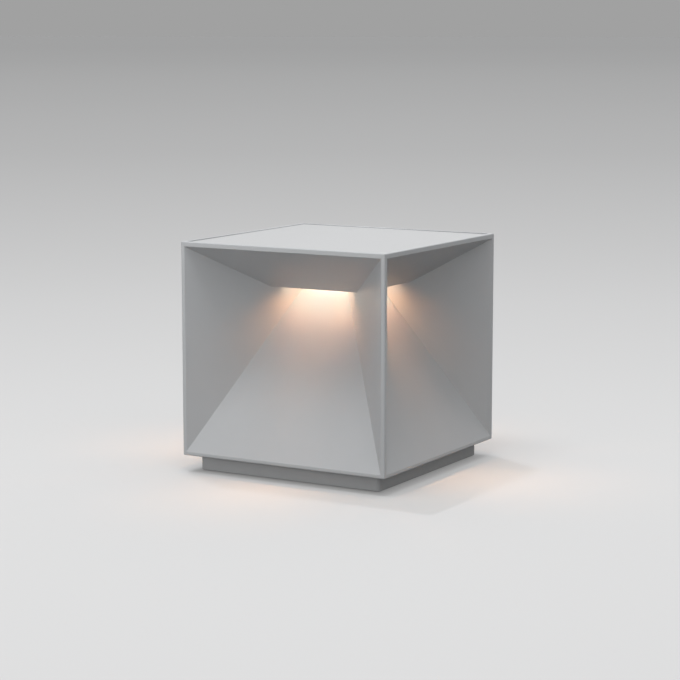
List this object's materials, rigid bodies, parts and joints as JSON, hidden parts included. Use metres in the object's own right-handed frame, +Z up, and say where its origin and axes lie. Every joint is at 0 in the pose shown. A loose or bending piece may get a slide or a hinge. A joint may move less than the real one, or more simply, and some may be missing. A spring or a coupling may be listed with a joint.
{
  "type": "table lamp",
  "caption": "Cube-shaped cordless LED table lamp whose sides are faceted pockets washed with light from a hidden slot, on a recessed plinth.",
  "frame": {"origin": "on the table under the middle of the base", "axes": "+Z up, -Y to the front, +X to the right, the charging door on the +Y side"},
  "size_m": [0.11, 0.11, 0.1106],
  "materials": {
    "body_coat": "matt light-grey powder coat on cast aluminium",
    "cover_coat": "moulded cover lacquered to match the body",
    "base_plastic": "fine-textured grey moulding",
    "button_plastic": "satin dark-grey moulding",
    "foot_rubber": "matt black rubber",
    "bonding_tape": "black foam tape",
    "bare_aluminium": "milled plate",
    "white_board": "white solder resist",
    "green_board": "green solder resist",
    "emitter": "phosphor-filled emitter",
    "frosted_diffuser": "frosted moulding",
    "plated_steel": "zinc-plated steel",
    "nickel_strip": "nickel-plated strip",
    "black_component": "moulded component body",
    "cream_plastic": "moulded plunger",
    "holder_plastic": "black moulding",
    "cell_wrap": "shrink sleeve",
    "red_lead": "insulated lead",
    "black_lead": "insulated lead",
    "white_lead": "insulated lead"
  },
  "bodies": {
    "lamp": {"pyramid_casting": "body_coat", "head_casting": "body_coat", "corner_fin_front_left": "body_coat", "corner_fin_front_right": "body_coat", "corner_fin_back_left": "body_coat", "corner_fin_back_right": "body_coat", "top_cover": "cover_coat", "base_tray": "base_plastic", "foot_pad": "foot_rubber", "base_gasket": "foot_rubber", "cover_tape": "bonding_tape", "heat_spreader": "bare_aluminium", "led_board": "white_board", "driver_board": "green_board", "touch_pad": "green_board", "led_chips": "emitter", "diffuser_ring": "frosted_diffuser", "spreader_screws": "plated_steel", "base_screws": "plated_steel", "driver_board_screws": "plated_steel", "port_door_pin": "plated_steel", "usb_socket": "plated_steel", "battery_contacts": "nickel_strip", "driver_chip": "black_component", "driver_inductor": "black_component", "switch_body": "black_component", "battery_holder": "holder_plastic", "battery_cell": "cell_wrap", "led_lead_plus": "red_lead", "battery_lead_plus": "red_lead", "led_lead_minus": "black_lead", "battery_lead_minus": "black_lead", "touch_lead": "white_lead"},
    "charging_door": {"port_door": "base_plastic"},
    "button": {"power_button": "button_plastic"},
    "plunger": {"switch_plunger": "cream_plastic"}
  },
  "joints": [
    {"name": "door_hinge", "type": "hinge", "parent": "lamp", "child": "charging_door", "pos_m": [0.0073, 0.04795, 0.0045], "axis": [0, 0, -1], "range_deg": [0, 95]},
    {"name": "button_press", "type": "slide", "parent": "lamp", "child": "button", "axis": [0, 0, 1], "range_m": [0, 0.0008], "stiffness_N_per_m": 1500, "springref_m": -0.0002},
    {"name": "plunger_press", "type": "slide", "parent": "lamp", "child": "plunger", "axis": [0, 0, 1], "range_m": [0, 0.0008]}
  ],
  "couplings": [
    {"joint": "plunger_press", "follows": "button_press", "ratio": 1}
  ]
}
